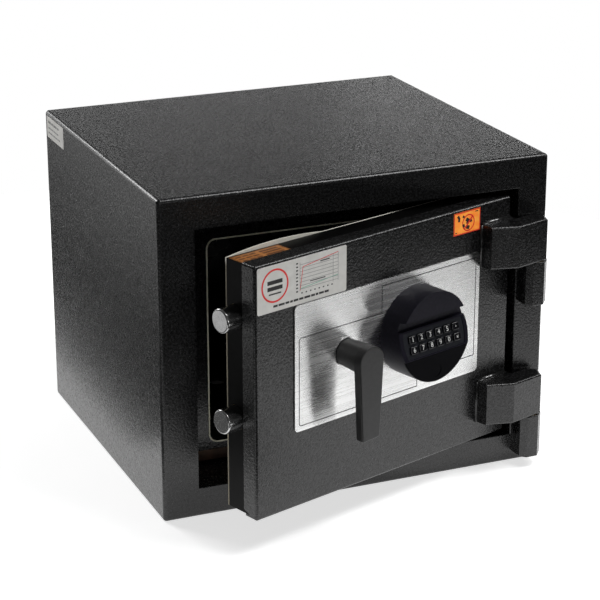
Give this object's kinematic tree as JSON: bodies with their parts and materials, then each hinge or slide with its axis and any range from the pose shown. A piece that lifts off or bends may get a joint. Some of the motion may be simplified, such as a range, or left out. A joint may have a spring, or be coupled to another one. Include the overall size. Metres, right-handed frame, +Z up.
{
  "type": "fireproof document safe",
  "caption": "Small fire-resistant safe with a hinged insulated door, round bolts thrown by a lever handle, and a round electronic keypad.",
  "frame": {"origin": "centre of the cabinet's base, on the surface it stands on", "axes": "+X to the right seen from the front, +Y from the front to the back, +Z up"},
  "size_m": [0.3903, 0.4446, 0.31],
  "materials": {
    "body_paint": "satin",
    "liner_paint": "satin",
    "bead": "satin",
    "edge_seal": "matte",
    "seal": "matte",
    "fire_fill": "matte",
    "steel": "satin",
    "brass": "satin",
    "copper_winding": "satin",
    "chrome": "polished",
    "trim_plate": "satin",
    "handle_black": "satin",
    "keypad_black": "satin",
    "panel_grey": "matte",
    "cover_gloss": "gloss",
    "key_black": "gloss",
    "mat_rubber": "matte",
    "label_white": "satin",
    "label_orange": "gloss",
    "label_brown": "satin",
    "cell": "gloss"
  },
  "bodies": {
    "cabinet": {"cabinet_shell": "body_paint", "rear_panel": "body_paint", "door_jamb": "body_paint", "inner_liner": "liner_paint", "liner_bead": "bead", "intumescent_seal": "seal", "fire_insulation": "fire_fill", "anchor_sleeves": "steel", "lower_hinge_knuckle": "body_paint", "upper_hinge_knuckle": "body_paint", "lower_hinge_pin": "steel", "upper_hinge_pin": "steel", "thrust_washers": "brass", "side_label": "label_white"},
    "door": {"door_plate": "body_paint", "plug_case": "body_paint", "door_insulation": "fire_fill", "drill_plate": "steel", "door_back_cover": "liner_paint", "plug_edge_seal": "edge_seal", "back_cover_screws": "steel", "fixed_hinge_side_bolts": "steel", "lower_hinge_arm": "body_paint", "upper_hinge_arm": "body_paint", "hinge_bushes": "brass", "bolt_guides": "brass", "handle_bush": "brass", "handle_rose": "chrome", "front_trim_plate": "trim_plate", "fire_rating_label": "label_white", "warning_label": "label_orange", "plug_top_label": "label_brown", "lock_case": "steel", "lock_coil": "copper_winding", "keypad_base": "keypad_black", "keypad_housing": "keypad_black", "keypad_fascia": "panel_grey", "key_mat": "mat_rubber", "keypad_board": "keypad_black", "battery": "cell", "keypad_lead": "mat_rubber"},
    "handle": {"lever_handle": "handle_black", "handle_spindle": "steel", "spindle_crank": "steel"},
    "bolt_work": {"locking_bolts": "chrome", "bolt_bar": "steel"},
    "lock_plunger": {"lock_plunger": "steel"},
    "battery_cover": {"battery_cover": "cover_gloss"},
    "key_1": {"key_1": "key_black"},
    "key_2": {"key_2": "key_black"},
    "key_3": {"key_3": "key_black"},
    "key_4": {"key_4": "key_black"},
    "key_5": {"key_5": "key_black"},
    "key_dot": {"key_dot": "key_black"},
    "key_6": {"key_6": "key_black"},
    "key_7": {"key_7": "key_black"},
    "key_8": {"key_8": "key_black"},
    "key_9": {"key_9": "key_black"},
    "key_0": {"key_0": "key_black"},
    "key_cross": {"key_cross": "key_black"}
  },
  "joints": [
    {"name": "door_swing", "type": "hinge", "parent": "cabinet", "child": "door", "pos_m": [0.1775, -0.182, 0.155], "axis": [0, 0, 1], "range_deg": [-18.3, 81.7]},
    {"name": "handle_turn", "type": "hinge", "parent": "door", "child": "handle", "pos_m": [-0.04377, -0.23622, 0.1705], "axis": [-0.314, 0.9494, 0], "range_deg": [0, 90]},
    {"name": "bolt_throw", "type": "slide", "parent": "door", "child": "bolt_work", "axis": [0.9494, 0.314, 0], "range_m": [0, 0.016]},
    {"name": "plunger_travel", "type": "slide", "parent": "door", "child": "lock_plunger", "axis": [0, 0, 1], "range_m": [0, 0.005], "stiffness_N_per_m": 60},
    {"name": "battery_cover_slide", "type": "slide", "parent": "door", "child": "battery_cover", "axis": [0, 0, -1], "range_m": [0, 0.012]},
    {"name": "press_1", "type": "slide", "parent": "door", "child": "key_1", "axis": [-0.3018, 0.9126, -0.2756], "range_m": [0, 0.0008], "stiffness_N_per_m": 400},
    {"name": "press_2", "type": "slide", "parent": "door", "child": "key_2", "axis": [-0.3018, 0.9126, -0.2756], "range_m": [0, 0.0008], "stiffness_N_per_m": 400},
    {"name": "press_3", "type": "slide", "parent": "door", "child": "key_3", "axis": [-0.3018, 0.9126, -0.2756], "range_m": [0, 0.0008], "stiffness_N_per_m": 400},
    {"name": "press_4", "type": "slide", "parent": "door", "child": "key_4", "axis": [-0.3018, 0.9126, -0.2756], "range_m": [0, 0.0008], "stiffness_N_per_m": 400},
    {"name": "press_5", "type": "slide", "parent": "door", "child": "key_5", "axis": [-0.3018, 0.9126, -0.2756], "range_m": [0, 0.0008], "stiffness_N_per_m": 400},
    {"name": "press_dot", "type": "slide", "parent": "door", "child": "key_dot", "axis": [-0.3018, 0.9126, -0.2756], "range_m": [0, 0.0008], "stiffness_N_per_m": 400},
    {"name": "press_6", "type": "slide", "parent": "door", "child": "key_6", "axis": [-0.3018, 0.9126, -0.2756], "range_m": [0, 0.0008], "stiffness_N_per_m": 400},
    {"name": "press_7", "type": "slide", "parent": "door", "child": "key_7", "axis": [-0.3018, 0.9126, -0.2756], "range_m": [0, 0.0008], "stiffness_N_per_m": 400},
    {"name": "press_8", "type": "slide", "parent": "door", "child": "key_8", "axis": [-0.3018, 0.9126, -0.2756], "range_m": [0, 0.0008], "stiffness_N_per_m": 400},
    {"name": "press_9", "type": "slide", "parent": "door", "child": "key_9", "axis": [-0.3018, 0.9126, -0.2756], "range_m": [0, 0.0008], "stiffness_N_per_m": 400},
    {"name": "press_0", "type": "slide", "parent": "door", "child": "key_0", "axis": [-0.3018, 0.9126, -0.2756], "range_m": [0, 0.0008], "stiffness_N_per_m": 400},
    {"name": "press_cross", "type": "slide", "parent": "door", "child": "key_cross", "axis": [-0.3018, 0.9126, -0.2756], "range_m": [0, 0.0008], "stiffness_N_per_m": 400}
  ],
  "couplings": [
    {"joint": "bolt_throw", "follows": "handle_turn", "m_per_rad": 0.0101}
  ]
}
